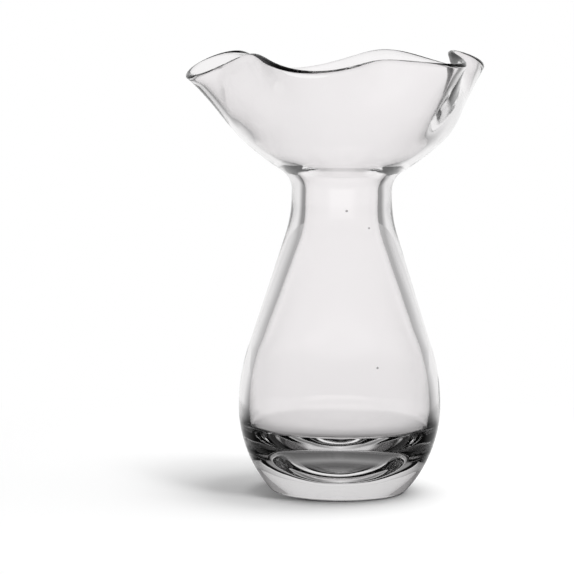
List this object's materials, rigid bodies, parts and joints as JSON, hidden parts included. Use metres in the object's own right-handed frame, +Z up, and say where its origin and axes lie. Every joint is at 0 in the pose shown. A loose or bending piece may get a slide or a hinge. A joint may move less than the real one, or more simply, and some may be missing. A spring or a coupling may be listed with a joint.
{
  "type": "hyacinth forcing vase",
  "caption": "Clear blown-glass forcing vase: heavy rounded base, pear-shaped water reservoir, narrow throat that holds a bulb above the water, and a flared cup with a wavy rim.",
  "frame": {"origin": "centre of the foot, on the plane that the vase stands on", "axes": "+Z up the axis of the vase, through the throat; +X to the right and -Y towards the viewer of the picture"},
  "size_m": [0.1325, 0.1326, 0.1963],
  "materials": {
    "clear_glass": "clear soda-lime glass, mouth-blown, fire-polished all over"
  },
  "bodies": {
    "root": {"solid_base": "clear_glass", "reservoir_wall": "clear_glass", "neck_collar": "clear_glass", "bulb_cup": "clear_glass", "ruffled_rim": "clear_glass"}
  },
  "joints": []
}
